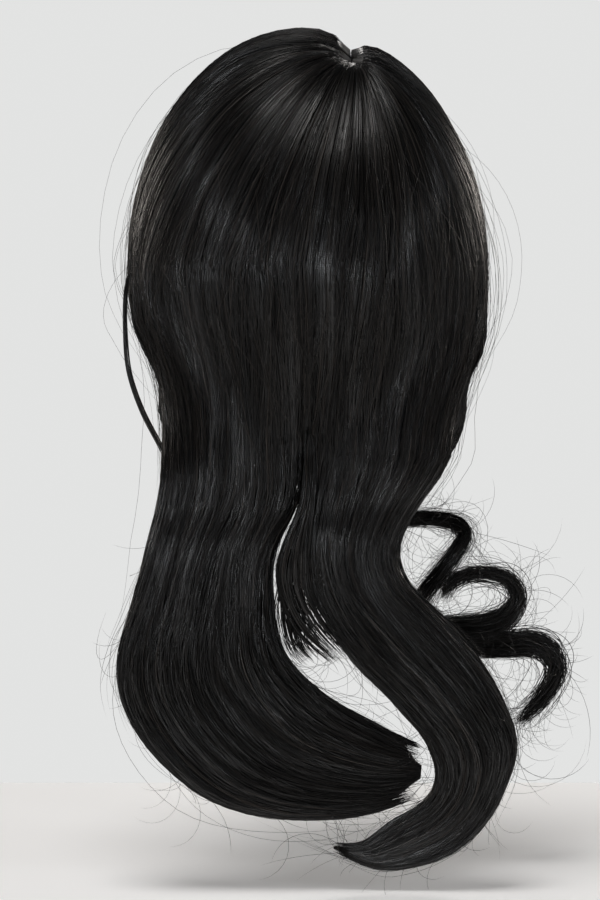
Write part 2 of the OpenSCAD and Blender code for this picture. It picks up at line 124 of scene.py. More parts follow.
# Lock and curl guides: x, y, z, half width, half depth
LEFT_LOCK = (
    (-75, 22, -76, 7, 21), (-66, 26, -92, 8, 19), (-65, 26, -108, 9, 16), (-63, 23, -124, 8, 13),
    (-60, 19, -145, 8, 10), (-62, 16, -165, 7, 8), (-66, 14, -185, 5, 6), (-70, 13, -203, 3, 4),
    (-72, 13, -214, 1.2, 1.6),
)
RIGHT_LOCK = (
    (79, 22, -76, 8, 21), (72, 28, -92, 9, 18), (60, 29, -106, 9, 14), (50, 27, -118, 8, 10),
    (43, 22, -127, 6, 6), (46, 17, -134, 4.4, 3.4), (57, 13, -134, 4.2, 2.6), (69, 8, -134, 4.2, 2.4),
    (79, 3, -136, 4.2, 2.4), (84, -1, -142, 4, 2.4), (80, -3, -150, 4.2, 2.4), (72, -2, -161, 4.4, 2.4),
    (63, 1, -173, 4.4, 2.6), (58, 6, -184, 4.6, 3), (66, 10, -192, 5.4, 3), (80, 12, -193, 7, 3),
    (96, 13, -192, 7.4, 3), (108, 14, -186, 6, 3), (113, 14, -176, 4.4, 2.6), (108, 13, -167, 3.4, 2.4),
    (97, 11, -163.5, 3, 2.2), (85, 9, -164, 3, 2), (76, 7, -169, 2.8, 2), (73, 6, -177, 1.6, 1.6),
)
LOWER_CURL = (
    (71, 16.8, -198, 3, 2.4), (80, 17.3, -201, 5.4, 2.8), (92, 17.8, -203, 6.6, 3),
    (106, 18, -203, 7, 3), (120, 17, -202, 7, 3), (130, 15, -206, 6, 3), (134, 12, -215, 4.2, 2.6),
    (130, 9, -225, 3.6, 2.4), (122, 8, -235, 2.8, 2), (113, 8, -244, 1.2, 1.2),
)
LOOSE_STRAND = (
    (-94, -24, -1, 0.8, 0.8), (-96.4, -24.5, -14, 1.3, 1.5), (-96.6, -25, -34, 1.4, 1.6),
    (-94.5, -25, -54, 1.4, 1.6), (-88, -24, -74, 1.4, 1.6), (-79, -22, -92, 1.2, 1.4),
    (-74, -20, -102, 0.7, 0.8),
)


# ---------------------------------------------------------------- shapes


def ease(t):
    t = np.clip(t, 0, 1)
    return t * t * (3 - 2 * t)


def table(pairs, x):
    xs, ys = zip(*pairs)
    return np.interp(x, xs, ys)


def along(rows, s):
    """A smooth value between guide rows, with s counted in rows."""
    rows = np.asarray(rows, float)
    s = np.asarray(s, float)
    i = np.clip(np.floor(s).astype(int), 0, len(rows) - 2)
    t = (s - i)[..., None]
    last = len(rows) - 1
    a, b = rows[np.clip(i - 1, 0, last)], rows[i]
    c, d = rows[i + 1], rows[np.clip(i + 2, 0, last)]
    curve = (b * 2 + (c - a) * t + (a * 2 - b * 5 + c * 4 - d) * t**2 + (b * 3 - a - c * 3 + d) * t**3) / 2
    return np.where(t > 1, c + (c - b) * (t - 1), curve)


def ripple(x, seed):
    """Smooth noise from -1 to 1 along a line, one bump per unit of x."""
    values = np.random.default_rng(seed).uniform(-1, 1, 512)
    i = np.floor(x).astype(int)
    t = ease(x - i)
    return values[i % 512] * (1 - t) + values[(i + 1) % 512] * t


def flow(a, t):
    """Direction of the hair at azimuth a, from its root (t 0) down to the headband line (t 1)."""
    f = np.clip((np.abs(a) - 90) / 35, 0, 1)
    x, y = PART_X / 95, -0.42 + 1.165 * f
    root = np.stack([np.full_like(y, x), y, np.sqrt(1 - x * x - y * y)], -1)
    rim = np.stack([np.sin(np.radians(a)), -np.cos(np.radians(a)), np.zeros_like(y)], -1)
    w = np.arccos(np.clip((root * rim).sum(-1), -1, 1))[..., None]
    t = t[..., None]
    return (root * np.sin((1 - t) * w) + rim * np.sin(t * w)) / np.sin(w)


def on_dome(a, t, lift):
    d = flow(a, t)
    dip = 1.1 * PART_DIP * np.exp(-t / 0.05)
    size = np.stack([HAIR_W - 0.6 * dip + lift, HAIR_L - 0.6 * dip + lift, HAIR_H - dip + lift], -1)
    return d * size


def in_dome(a, t, lift):
    d = flow(a, t)
    return d * (np.array([CAP_W, CAP_L, CROWN]) + HAIR_IN + lift[..., None])


def hanging(a, z, lift):
    w = np.where(a < 0, table(LEFT_WIDTHS, z), table(RIGHT_WIDTHS, z))
    return np.stack([(w + lift) * np.sin(np.radians(a)),
                     -(table(HAIR_LENGTHS, z) + lift) * np.cos(np.radians(a)), z], -1)


def hanging_in(a, z, lift):
    inner = HAIR_IN + lift
    return np.stack([(table(CAP_WIDTHS, z) + inner) * np.sin(np.radians(a)),
                     -(table(CAP_LENGTHS, z) + inner) * np.cos(np.radians(a)), z], -1)


def on_tail(rows, s, angle, lift, share=1.0):
    """A point of a tail's skin: s in rows, angle 0 at its right edge and -90 at its back."""
    r = along(rows, np.maximum(s, 0))
    up = np.maximum(-s, 0) * RISE
    w = np.stack([r[..., 2] - r[..., 0], np.zeros_like(up), r[..., 3] - r[..., 1]], -1)
    half = np.linalg.norm(w, axis=-1)
    w = w / half[..., None]
    half = half / 2
    centre = np.stack([(r[..., 0] + r[..., 2]) / 2, r[..., 4], (r[..., 1] + r[..., 3]) / 2 + up], -1)
    c, n = np.cos(np.radians(angle)), np.sin(np.radians(angle))
    y = np.zeros_like(centre)
    y[..., 1] = 1
    across, deep = (half * share + lift) * c, (r[..., 5] * share + lift) * n
    return centre + w * across[..., None] + y * deep[..., None]


def on_lock(rows, s, angle, lift, share=1.0):
    """A point of a front lock or curl, whose depth stays along y."""
    top = len(rows) - 1
    r = along(rows, np.maximum(s, 0))
    up = np.maximum(-s, 0) * RISE
    ahead, behind = along(rows, np.clip(s + 0.04, 0, top)), along(rows, np.clip(s - 0.04, 0, top))
    d = ahead[..., :3] - behind[..., :3]
    d[..., 1] = 0
    d /= np.maximum(np.linalg.norm(d, axis=-1), 1e-9)[..., None]
    straight = ease(1 - s / 0.5)[..., None]
    d = d * (1 - straight) + np.array([0, 0, -1.0]) * straight
    d /= np.linalg.norm(d, axis=-1)[..., None]
    w = np.stack([-d[..., 2], np.zeros_like(up), d[..., 0]], -1)
    c, n = np.cos(np.radians(angle)), np.sin(np.radians(angle))
    out = r[..., :3].copy()
    out[..., 2] += up
    out += w * ((r[..., 3] * share + lift) * c)[..., None]
    out[..., 1] += (r[..., 4] * share + lift) * n
    return out


def tail_turn(a):
    """How far round its tail the root hair of azimuth a arrives, from the tail's inner edge."""
    turned = np.degrees(np.arccos(np.clip((39 - 78 * np.sin(np.radians(a))) / 36.5, -1, 1)))
    return turned + np.maximum(a - 70, 0) * 2.2


def bundles(x, seed):
    """Rounded bundles with sharp valleys between them, one bundle per unit of x."""
    heights = np.random.default_rng(seed).uniform(0.35, 1, 512)
    i = np.floor(x).astype(int)
    return heights[i % 512] * np.sqrt(np.clip(1 - (2 * (x - i) - 1) ** 2, 0, 1)) - 0.5


def wander(a, drop):
    """How far neighbouring strands sway together, in degrees."""
    return 3.4 * ripple(drop / 80 + 2.0 * ripple(a / 18, 9), 8) * ease((drop - 80) / 110)


def combed(a, drop):
    """Height of the combed surface: loose locks low down, narrow locks and fine grooves."""
    root = a - wander(a, drop)
    grown, lower = np.clip(drop / 60, 0, 1), ease((drop - ARC + 45) / 80)
    height = 0.9 * ripple(root / 7.0, 1) + 0.6 * ripple(root / 2.6, 2)
    height = height + lower * 3.4 * bundles(root / 11 + 0.5 * ripple(drop / 60, 6), 4)
    return grown * (height + 0.9 * bundles(root / 3.9, 7)) + 0.3 * ripple(root / 0.9, 3)


def tail_ridge(turned, s, thick):
    """Height of the combed surface round a tail."""
    bend = turned + 22 * ripple(s / 4.0, 24)
    height = 2.4 * bundles(bend / 27.7 + 0.1 * s, 21) + 1.0 * bundles(bend / 9.47, 22)
    height = height + 0.3 * ripple(bend / 2.0, 25)
    return height * np.clip(thick / 12, 0.12, 1)


def row_at(rows, z):
    """The guide row, counted in rows, at a height. Above the first row it is negative."""
    rows = np.asarray(rows, float)
    heights = rows[:, 2] if rows.shape[1] == 5 else (rows[:, 1] + rows[:, 3]) / 2
    return np.where(z > heights[0], (heights[0] - z) / RISE, np.interp(-z, -heights, np.arange(len(rows))))


def root_path(side, a, drop, lift):
    """Root hair of one side at azimuth a, drop millimetres along its way from the whorl or the part."""
    z = -np.maximum(drop - ARC, 0)
    relief = combed(a, drop)
    dome = on_dome(a, np.clip(drop / ARC, 0.001, 1), lift + relief)
    out = np.where((drop < ARC)[..., None], dome, hanging(a, z, lift + relief))
    spread = np.maximum(a * side, 0)
    if np.median(spread) > 92.1:
        rows = LEFT_LOCK if side < 0 else RIGHT_LOCK
        round_lock = -90 + side * (spread - 92) / 33 * 180
        gathered = on_lock(rows, row_at(rows[:6], np.maximum(z, -126)), round_lock, lift + 0.3 * relief, 0.8)
        share = ease((-z - 34) / 50)[..., None]
    else:
        rows = LEFT_TAIL if side < 0 else RIGHT_TAIL
        turned = -tail_turn(spread) if side < 0 else tail_turn(spread) - 180
        s = row_at(rows, z)
        ridge = tail_ridge(turned, s, along(rows, np.maximum(s, 0))[..., 5])
        gathered = on_tail(rows, s, turned, lift + ridge)
        share = ease((-z - 16) / 100)[..., None]
    return out * (1 - share) + gathered * share


def along_rows(count, points, start, end, power=1.0):
    """Row numbers for each strand from its own start to its own end."""
    u = np.linspace(0, 1, points) ** power
    return start[:, None] + (end - start)[:, None] * u


def taper(count, points, radius, root=0.12, tip=0.2):
    u = np.linspace(0, 1, points)
    shape = np.minimum(1, np.minimum(u / root, (1 - u) / tip)) ** 0.6
    return radius[:, None] * shape[None, :]


def told(shade, down, lock, shape):
    return np.stack([np.broadcast_to(v, shape) for v in (shade, down, lock)], -1)


# ---------------------------------------------------------------- materials


class Wave:
    """A shader socket that can be used in Python expressions."""

    def __init__(self, tree, socket):
        self.tree, self.socket = tree, socket

    def _maths(self, operation, *values):
        return self.tree.add("ShaderNodeMath", {"operation": operation}, *values)

    def __add__(self, other):
        return self._maths("ADD", self, other)

    def __sub__(self, other):
        return self._maths("SUBTRACT", self, other)

    def __rsub__(self, other):
        return self._maths("SUBTRACT", other, self)

    def __mul__(self, other):
        return self._maths("MULTIPLY", self, other)

    def __pow__(self, other):
        return self._maths("POWER", self, other)

    def sine(self):
        return self._maths("SINE", self)

    def between(self, low, high):
        return self.tree.add("ShaderNodeMapRange", {"clamp": True}, self, low, high, 0.0, 1.0)

    __radd__ = __add__
    __rmul__ = __mul__


class Finish:
    """One material, built from a Principled shader and the nodes that feed it."""

    def __init__(self, name, **constants):
        self.material = bpy.data.materials.new(name)
        self.material.use_nodes = True
        self.nodes = self.material.node_tree.nodes
        self.links = self.material.node_tree.links
        self.shader = self.nodes["Principled BSDF"]
        for socket, value in constants.items():
            self.shader.inputs[socket.replace("_", " ")].default_value = value

    def add(self, kind, settings, *values, output=0):
        node = self.nodes.new(kind)
        for key, value in settings.items():
            setattr(node, key, value)
        sockets = [s for s in node.inputs if s.enabled]
        for socket, value in zip(sockets, values):
            if isinstance(value, Wave):
                self.links.new(value.socket, socket)
            elif value is not None:
                socket.default_value = value
        outputs = [s for s in node.outputs if s.enabled]
        return Wave(self, outputs[output])

    def blend(self, share, low, high):
        return self.add("ShaderNodeMix", {"data_type": "RGBA"}, share, low, high)

    def noise(self, vector, scale, detail=2.0):
        return self.add("ShaderNodeTexNoise", {"noise_dimensions": "3D"}, vector, scale, detail, 0.5)

    def place(self):
        return self.add("ShaderNodeTexCoord", {}, output=3)

    def part(self, vector, axis):
        return self.add("ShaderNodeSeparateXYZ", {}, vector, output=axis)

    def wire(self, value, socket):
        self.links.new(value.socket, self.shader.inputs[socket])

    def bump(self, height, strength, distance):
        node = self.nodes.new("ShaderNodeBump")
        node.inputs["Strength"].default_value = strength
        node.inputs["Distance"].default_value = distance
        self.links.new(height.socket, node.inputs["Height"])
        self.links.new(node.outputs["Normal"], self.shader.inputs["Normal"])


def rgba(colour):
    return (*colour[:3], 1.0)


def fibre_finish(name, dark, warm, pale, roughness):
    """Smooth synthetic fibre: each strand has its own shade, and roots are darker. The pale colour marks a
    few random lighter strands, and on the stray strands it is a painted highlight.
    """
    f = Finish(name, Roughness=roughness, Specular_IOR_Level=0.19, Coat_Roughness=0.22, Coat_IOR=1.56)
    fibre = f.add("ShaderNodeAttribute", {"attribute_type": "GEOMETRY", "attribute_name": "fibre"})
    shade, down, lock = (f.add("ShaderNodeSeparateColor", {}, fibre, output=i) for i in range(3))
    streak = f.noise(f.add("ShaderNodeCombineXYZ", {}, shade * 900.0, down * 2.5, lock * 40.0), 1.0, 1.0)
    broad = f.noise(f.add("ShaderNodeCombineXYZ", {}, lock * 60.0, down * 5.0, 0.0), 1.0, 2.0)
    colour = f.blend(shade ** 2.0, rgba(dark), rgba(warm))
    # Strands with the highest shade values blend towards the pale colour: random lighter strands, and on the
    # stray strands a painted highlight.
    colour = f.blend((shade - 0.93).between(0.0, 0.07) * (0.35 + streak * 0.65), colour, rgba(pale))
    colour = f.blend((1.0 - down).between(0.9, 1.0) * 0.6, colour, rgba(dark))
    f.wire(colour, "Base Color")
    f.wire(streak * 0.2 + shade * 0.16 + (roughness - 0.18), "Roughness")
    f.wire(broad.between(0.43, 0.6) * streak.between(0.36, 0.62), "Coat Weight")
    return f.material


def under_finish(name, dark, warm, roughness):
    """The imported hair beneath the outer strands, grooved along its flow."""
    f = Finish(name, Roughness=roughness, Specular_IOR_Level=0.2)
    fibre = f.add("ShaderNodeAttribute", {"attribute_type": "GEOMETRY", "attribute_name": "fibre"})
    across, down, lock = (f.add("ShaderNodeSeparateColor", {}, fibre, output=i) for i in range(3))
    fine = f.noise(f.add("ShaderNodeCombineXYZ", {}, across * 900.0, down * 6.0, lock), 1.0, 3.0)
    broad = f.noise(f.add("ShaderNodeCombineXYZ", {}, across * 160.0, down * 2.0, lock), 1.0, 2.0)
    f.wire(f.blend(fine.between(0.35, 0.7) * 0.5 + broad * 0.3, rgba(dark), rgba(warm)), "Base Color")
    f.bump(fine + broad * 0.6, 0.7, 0.0006)
    return f.material


# ---------------------------------------------------------------- building


def hair_mesh(name, mesh, finish):
    piece = bpy.data.objects.new(name, mesh)
    bpy.context.scene.collection.objects.link(piece)
    if finish is not None:
        mesh.materials.clear()
        mesh.materials.append(finish)
    return piece


def strands(name, paths, radii, facts, finish):
    """A bundle of fine tapered tubes: paths (strands, points, 3) and radii (strands, points) in
    millimetres; facts (strands, points, 3) is what the finish reads at each point."""
    count, points = radii.shape
    line = bpy.data.curves.new(name, "CURVE")
    line.dimensions = "3D"
    line.bevel_depth = MM
    line.bevel_resolution = 0
    rows = np.concatenate([paths * MM, np.ones((count, points, 1))], -1).astype(np.float32)
    for k in range(count):
        spline = line.splines.new("POLY")
        spline.points.add(points - 1)
        spline.points.foreach_set("co", rows[k].ravel())
        spline.points.foreach_set("radius", radii[k].astype(np.float32))
    holder = bpy.data.objects.new(name + "_line", line)
    bpy.context.scene.collection.objects.link(holder)
    graph = bpy.context.evaluated_depsgraph_get()
    mesh = bpy.data.meshes.new_from_object(holder.evaluated_get(graph))
    bpy.data.objects.remove(holder)
    bpy.data.curves.remove(line)
    mesh.name = name
    values = np.ones((count, points, 4, 4), np.float32)
    values[..., :3] = facts[:, :, None, :]
    mesh.attributes.new("fibre", "FLOAT_COLOR", "POINT").data.foreach_set("color", values.ravel())
    corners = np.zeros(len(mesh.loops), np.int32)
    mesh.loops.foreach_get("vertex_index", corners)
    layer = mesh.uv_layers[0]
    layer.name = "OFBake"
    uv = np.zeros(len(mesh.loops) * 2, np.float32)
    layer.data.foreach_get("uv", uv)
    uv = uv.reshape(-1, 2)
    column = corners // (4 * points)
    spread = np.stack([(column + 0.15 + 0.7 * uv[:, 1]) / count, 0.01 + 0.98 * uv[:, 0]], -1)
    layer.data.foreach_set("uv", spread.astype(np.float32).ravel())
    work = bmesh.new()
    work.from_mesh(mesh)
    bmesh.ops.remove_doubles(work, verts=work.verts, dist=1e-7)
    bmesh.ops.recalc_face_normals(work, faces=work.faces)
    work.to_mesh(mesh)
    work.free()
    mesh.shade_smooth()
    return hair_mesh(name, mesh, finish)


def sheet_skin(name, outside, inside, facts, finish):
    """A closed shell from two fields of points of the same size, outside and inside, in millimetres."""
    n, m = outside.shape[:2]
    work = bmesh.new()
    tag = work.verts.layers.float_color.new("fibre")
    faces = []
    for field in (outside, inside):
        start = len(work.verts)
        made = bmesh.ops.create_grid(work, x_segments=m - 1, y_segments=n - 1, size=1.0)["verts"]
        work.verts.ensure_lookup_table()
        flat = field.reshape(-1, 3) * MM
        told = facts.reshape(-1, 3)
        for k, v in enumerate(made):
            v.co = flat[k]
            v[tag] = (*told[k], 1.0)
    edges = [e for e in work.edges if e.is_boundary]
    bmesh.ops.bridge_loops(work, edges=edges)
    bmesh.ops.recalc_face_normals(work, faces=work.faces)
    mesh = bpy.data.meshes.new(name)
    work.to_mesh(mesh)
    work.free()
    mesh.shade_smooth()
    return hair_mesh(name, mesh, finish)


def ring_skin(name, rings, facts, finish):
    """A closed rod through rings of points, in millimetres."""
    n, m = rings.shape[:2]
    work = bmesh.new()
    tag = work.verts.layers.float_color.new("fibre")
    before = None
    for i in range(n):
        made = bmesh.ops.create_circle(work, segments=m, radius=1.0, cap_ends=(i in (0, n - 1)))["verts"]
        for k, v in enumerate(made):
            v.co = rings[i, k] * MM
            v[tag] = (*facts[i, k], 1.0)
        edges = [e for v in made for e in v.link_edges if e.other_vert(v) in set(made)]
        edges = list(dict.fromkeys(edges))
        if before is not None:
            bmesh.ops.bridge_loops(work, edges=before + edges)
        before = edges
    bmesh.ops.recalc_face_normals(work, faces=work.faces)
    mesh = bpy.data.meshes.new(name)
    work.to_mesh(mesh)
    work.free()
    mesh.shade_smooth()
    return hair_mesh(name, mesh, finish)


def split(name, paths, radii, facts, finish, most=190000):
    """The same strands in as many pieces as keep each one light."""
    each = most // ((radii.shape[1] - 1) * 8)
    pieces = []
    for i in range(0, len(radii), each):
        share = slice(i, i + each)
        pieces.append(strands(f"{name}_{i // each + 1}", paths[share], radii[share], facts[share], finish))
    return pieces


def root_strands(rng, side, a, reach, points, radius, lift):
    """Strands of root hair at azimuths a, down to reach millimetres below the headband line."""
    count = len(a)
    fan = np.arcsin(rng.uniform(0, 1, count)) / (math.pi / 2)
    begin = np.where(np.abs(a) < 90, fan * 0.9, fan * rng.integers(0, 2, count) * 0.7) * ARC
    drop = begin[:, None] + (ARC + reach - begin)[:, None] * np.linspace(0, 1, points)
    sway = ripple(drop / 70 + rng.uniform(0, 400, count)[:, None], 11)
    across = a[:, None] + wander(a[:, None], drop)
    freed = 0.8 * np.clip((drop - begin[:, None]) / 60, 0, 1) + 1.6 * ease((drop - ARC) / 90)
    across = across + sway * freed
    away = drop - begin[:, None]
    raised = lift[:, None] - 2.2 * (1 - ease(away / 14))
    paths = root_path(side, across, drop, raised)
    shade = rng.uniform(0, 1, count)[:, None]
    facts = told(shade, drop / (ARC + 320), (a / 360 + 0.5)[:, None], drop.shape)
    return paths, taper(count, points, radius), facts


def tail_strands(rng, rows, count, points, radius, last, twist):
    """Strands all round a tail, from inside its top down to a ragged end near row last."""
    angle = rng.uniform(-180, 180, count)
    depth = rng.uniform(0, 1, count)
    start = rng.uniform(-0.9, 0.6, count)
    short = rng.uniform(0, 1, count)
    if rows is MIDDLE:
        start, short = rng.uniform(0, 0.8, count), 5.5 * short ** 1.6
    else:
        short = 1.1 * short ** 3
    end = last - np.abs(rng.normal(0, 0.35, count)) - short
    s = along_rows(count, points, start, end)
    sway = 5 * ripple(s / 2.4 + rng.uniform(0, 400, count)[:, None], 12)
    turned = angle[:, None] + twist * (s / last) + sway
    ridge = tail_ridge(turned, s, along(rows, np.maximum(s, 0))[..., 5])
    sunk = np.where(len(rows) > 10, ease((s + 0.9) / 2.8), 1.0)
    share = (0.3 + 0.7 * sunk) * (1 - 0.09 * (1 - depth[:, None]) ** 2)
    paths = on_tail(rows, s, turned, ridge - 0.3, share)
    facts = told(rng.uniform(0, 1, count)[:, None], 0.3 + 0.7 * s / last, (turned + 180) / 360, s.shape)
    return paths, taper(count, points, radius), facts


def lock_strands(rng, rows, count, points, radius, first, last, spread, ragged=0.5):
    """Strands of a front lock or a curl, between two rows."""
    angle = rng.uniform(-180, 180, count)
    depth = rng.uniform(0.35, 1, count) ** 0.5
    start = first + rng.uniform(0, 0.5, count)
    end = last - ragged * rng.uniform(0, 1, count) ** 2
    s = along_rows(count, points, start, end)
    turned = angle[:, None] + 10 * ripple(s / 3 + rng.uniform(0, 400, count)[:, None], 13)
    ridge = 0.35 * ripple(turned / 25.0 + 0.2 * s, 23)
    sunk = ease((s - start[:, None]) / (2.0 if first < -1 else 0.8))
    share = depth[:, None] * (0.35 + 0.65 * sunk if first < -1 else 0.7 + 0.3 * sunk)
    paths = on_lock(rows, s, turned, (ridge - 0.2) * sunk, share)
    wide = 0.3 + 1.5 * rng.uniform(0, 1, (count, 1, 1)) ** 3
    apart = rng.normal(0, 1, (count, 1, 3)) * spread * wide * np.array([1, 0.7, 1])
    grown = (0.35 + 0.65 * ease((s - first) / (last - first) * 1.3))[..., None]
    loose = np.stack([ripple(s / 2.2 + rng.uniform(0, 400, count)[:, None], 31 + k) for k in range(3)], -1)
    paths = paths + (apart + loose * spread * wide) * grown
    shade = rng.uniform(0, 1, count)[:, None]
    facts = told(shade, 0.4 + 0.6 * (s / max(last, 1)), (turned + 180) / 360, s.shape)
    return paths, taper(count, points, radius), facts


def finish_of(name):
    return bpy.data.materials[name]


def wear(node, finish, slot_name=None):
    """Gives a node of the frame its finish."""
    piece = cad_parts[node]
    piece.data.materials.clear()
    piece.data.materials.append(finish_of(finish))
    return piece


# ---------------------------------------------------------------- settings


class WigSettings(bpy.types.PropertyGroup):
    root_count: IntProperty(name="Root strands", description="Strands of root hair on each side",
                            default=1110, min=100, max=4000)
    tail_count: IntProperty(name="Tail strands", description="Strands of each tail",
                            default=715, min=50, max=3000)
    radius: FloatProperty(name="Strand radius", description="Half thickness of a strand", default=0.00029,
                          min=0.0001, max=0.001, subtype="DISTANCE", unit="LENGTH", precision=5)
    fly_count: IntProperty(name="Flyaways", description="Single strands standing off the hair", default=170,
                           min=0, max=400)
    dark: FloatVectorProperty(name="Hair", description="Hair colour", default=(0.0014, 0.00135, 0.0014),
                              subtype="COLOR", size=3, min=0, max=1)
    warm: FloatVectorProperty(name="Warm hair", description="Colour of the browner strands",
                              default=(0.0080, 0.0062, 0.0050), subtype="COLOR", size=3, min=0, max=1)
    # The pale colour is also a painted highlight on the stray strands that stand off the hair.
    pale: FloatVectorProperty(name="Pale strands", description="Colour of the few lighter strands",
                              default=(0.050, 0.041, 0.035), subtype="COLOR", size=3, min=0, max=1)
    gloss: FloatProperty(name="Roughness", description="Roughness of the hair", default=0.33, min=0.1, max=1)
    backdrop: FloatVectorProperty(name="Backdrop", description="Colour of the floor and wall",
                                  default=(0.765, 0.77, 0.765), subtype="COLOR", size=3, min=0, max=1)
    distance: FloatProperty(name="Camera distance", description="From the camera to the wig", default=1.8,
                            min=0.3, max=5, subtype="DISTANCE", unit="LENGTH")


# ---------------------------------------------------------------- pieces


class WIG_OT_finishes(bpy.types.Operator):
    """Makes the materials"""

    bl_idname = "wig.finishes"
    bl_label = "Finishes"

    def execute(self, context):
        c = context.scene.wig
        fibre_finish("strand_fibre", c.dark, c.warm, c.pale, c.gloss)
        under_finish("packed_fibre", c.dark, c.warm, c.gloss + 0.1)
        for name, colour, rough, metal, scale, strength in (
            ("net_yarn", (0.016, 0.013, 0.012), 0.7, 0.0, 900, 0.4),
            ("grey_skin", (0.075, 0.073, 0.070), 0.6, 0.0, 700, 0.35),
            ("felt_pad", (0.028, 0.026, 0.026), 0.95, 0.0, 1400, 0.8),
            ("spring_steel", (0.42, 0.41, 0.40), 0.32, 1.0, 300, 0.1),
            ("weft_tape", (0.018, 0.016, 0.016), 0.75, 0.0, 1100, 0.6),
            ("loop_tape", (0.035, 0.033, 0.034), 0.8, 0.0, 1200, 0.6),
            ("elastic_braid", (0.024, 0.023, 0.025), 0.7, 0.0, 800, 0.5),
            ("hook_shell", (0.02, 0.02, 0.022), 0.35, 0.0, 400, 0.15),
        ):
            f = Finish(name, Metallic=metal)
            where = f.place()
            fine = f.noise(where, float(scale), 3.0)
            broad = f.noise(where, 60.0, 2.0)
            low = tuple(v * 0.6 for v in colour)
            high = tuple(v * 1.5 for v in colour)
            f.wire(f.blend(fine * 0.6 + broad * 0.4, rgba(low), rgba(high)), "Base Color")
            f.wire(fine * 0.2 + (rough - 0.1), "Roughness")
            height = fine
            if name in ("weft_tape", "loop_tape", "elastic_braid", "net_yarn"):
                pitch = 5200.0 if name == "elastic_braid" else 3600.0
                courses = (f.part(where, 2) * pitch).sine()
                rib = courses * (f.part(where, 0) * pitch + f.part(where, 1) * pitch).sine()
                height = rib * 0.5 + fine * 0.5
            f.bump(height, strength, 0.0004)
        return {"FINISHED"}


class WIG_OT_cap(bpy.types.Operator):
    """Dresses the cap, its bands, stays, wefts and nape fittings, and knits the net"""

    bl_idname = "wig.cap"
    bl_label = "Cap and fittings"

    def execute(self, context):
        looks = {"front_band": "weft_tape", "nape_band": "weft_tape", "skin_top": "grey_skin"}
        for side in ("left", "right"):
            looks["ear_tab_" + side] = "felt_pad"
            looks["ear_stay_" + side] = "spring_steel"
            looks["hook_loops_" + side] = "loop_tape"
            looks["hook_" + side] = "hook_shell"
        for k in range(8):
            looks[f"weft_row_{k + 1}"] = "weft_tape"
        for node, finish in looks.items():
            wear(node, finish)
        net = self.net()
        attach(net, "cap")
        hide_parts("crown_net")
        for side in ("left", "right"):
            self.strap(side)
        return {"FINISHED"}

    def net(self):
        """Netting of crossing yarns over the cap, down to its shaped edge."""
        work = bmesh.new()
        bmesh.ops.create_grid(work, x_segments=100, y_segments=32, size=1.0)
        for v in work.verts:
            a = (v.co.x + 1) * 180
            edge = table(NET_EDGE, min(a, 360 - a))
            low = math.degrees(math.asin(edge / CROWN)) if edge > 0 else edge
            el = low + ((v.co.y + 1) / 2) * (88.5 - low)
            if edge > 0:
                z = CROWN * math.sin(math.radians(el))
            else:
                z = el if el < 0 else CROWN * math.sin(math.radians(el))
            ring = math.sqrt(max(1 - (z / CROWN) ** 2, 0)) if z > 0 else 1.0
            w, length = CAP_W, CAP_L
            if z < 0:
                w, length = table(CAP_WIDTHS, z), table(CAP_LENGTHS, z)
            off = 0.5
            v.co = Vector(((w + off) * ring * math.sin(math.radians(a)),
                           -(length + off) * ring * math.cos(math.radians(a)),
                           z + off * (z > 0))) * MM
        bmesh.ops.remove_doubles(work, verts=work.verts, dist=0.00005)
        mesh = bpy.data.meshes.new("crown_netting")
        work.to_mesh(mesh)
        work.free()
        piece = hair_mesh("crown_netting", mesh, finish_of("net_yarn"))
        yarn = piece.modifiers.new("yarn", "WIREFRAME")
        yarn.thickness = 0.0007
        yarn.use_even_offset = False
        yarn.use_boundary = True
        return piece

    def strap(self, side):
        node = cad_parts["strap_" + side]
        mesh = node.data.copy()
        work = bmesh.new()
        work.from_mesh(mesh)
        bmesh.ops.remove_doubles(work, verts=work.verts, dist=1e-6)
        work.to_mesh(mesh)
        work.free()
        strap = hair_mesh("nape_strap_" + side, mesh, finish_of("elastic_braid"))
        low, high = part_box("hook_" + side)
        hook = (low + high) / 2
        low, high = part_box("strap_" + side)
        middle = (low + high) / 2
        way = (hook - middle).normalized()
        reach = [(v.co - middle).dot(way) for v in mesh.vertices]
        start, end = middle + way * (min(reach) + 0.012), middle + way * (max(reach) - 0.010)
        tuple(start)
        tuple(end)
        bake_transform(strap)
        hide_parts("strap_" + side)


